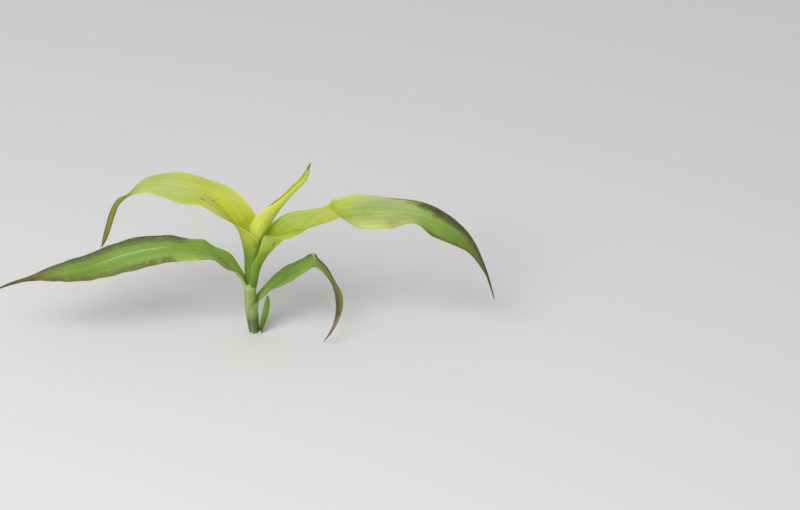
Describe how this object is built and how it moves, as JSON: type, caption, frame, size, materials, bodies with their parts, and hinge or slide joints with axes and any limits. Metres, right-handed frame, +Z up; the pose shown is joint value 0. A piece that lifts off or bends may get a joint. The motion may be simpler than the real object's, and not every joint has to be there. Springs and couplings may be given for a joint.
{
  "type": "young maize plant",
  "caption": "Young maize plant with a short sheathed stem, arching two-ranked leaves and a rolled new leaf, fixed in the ground at its foot.",
  "frame": {"origin": "centre of the flat cut under the stem, at ground level", "axes": "+Z up, leaves in two ranks along X, the even ranks towards +X and the odd ones towards -X except the first small leaf, -Y towards the viewer"},
  "size_m": [0.5355, 0.0664, 0.2002],
  "materials": {
    "stem": "satin",
    "sheath": "satin",
    "young_blade": "satin",
    "grown_blade": "satin",
    "old_blade": "satin",
    "withered_blade": "matte"
  },
  "bodies": {
    "root": {"stem_core": "stem", "leaf_1_blade": "old_blade", "leaf_2_sheath": "sheath", "leaf_2_rise": "old_blade", "leaf_2_hang": "withered_blade", "leaf_3_sheath": "sheath", "leaf_3_neck": "grown_blade", "leaf_3_blade": "grown_blade", "leaf_3_tip": "withered_blade", "leaf_4_sheath": "sheath", "leaf_4_base": "young_blade", "leaf_4_blade": "grown_blade", "leaf_4_tip": "withered_blade", "leaf_5_sheath": "sheath", "leaf_5_base": "young_blade", "leaf_5_arch": "young_blade", "leaf_5_tip": "withered_blade", "leaf_6_spindle": "young_blade"}
  },
  "joints": []
}
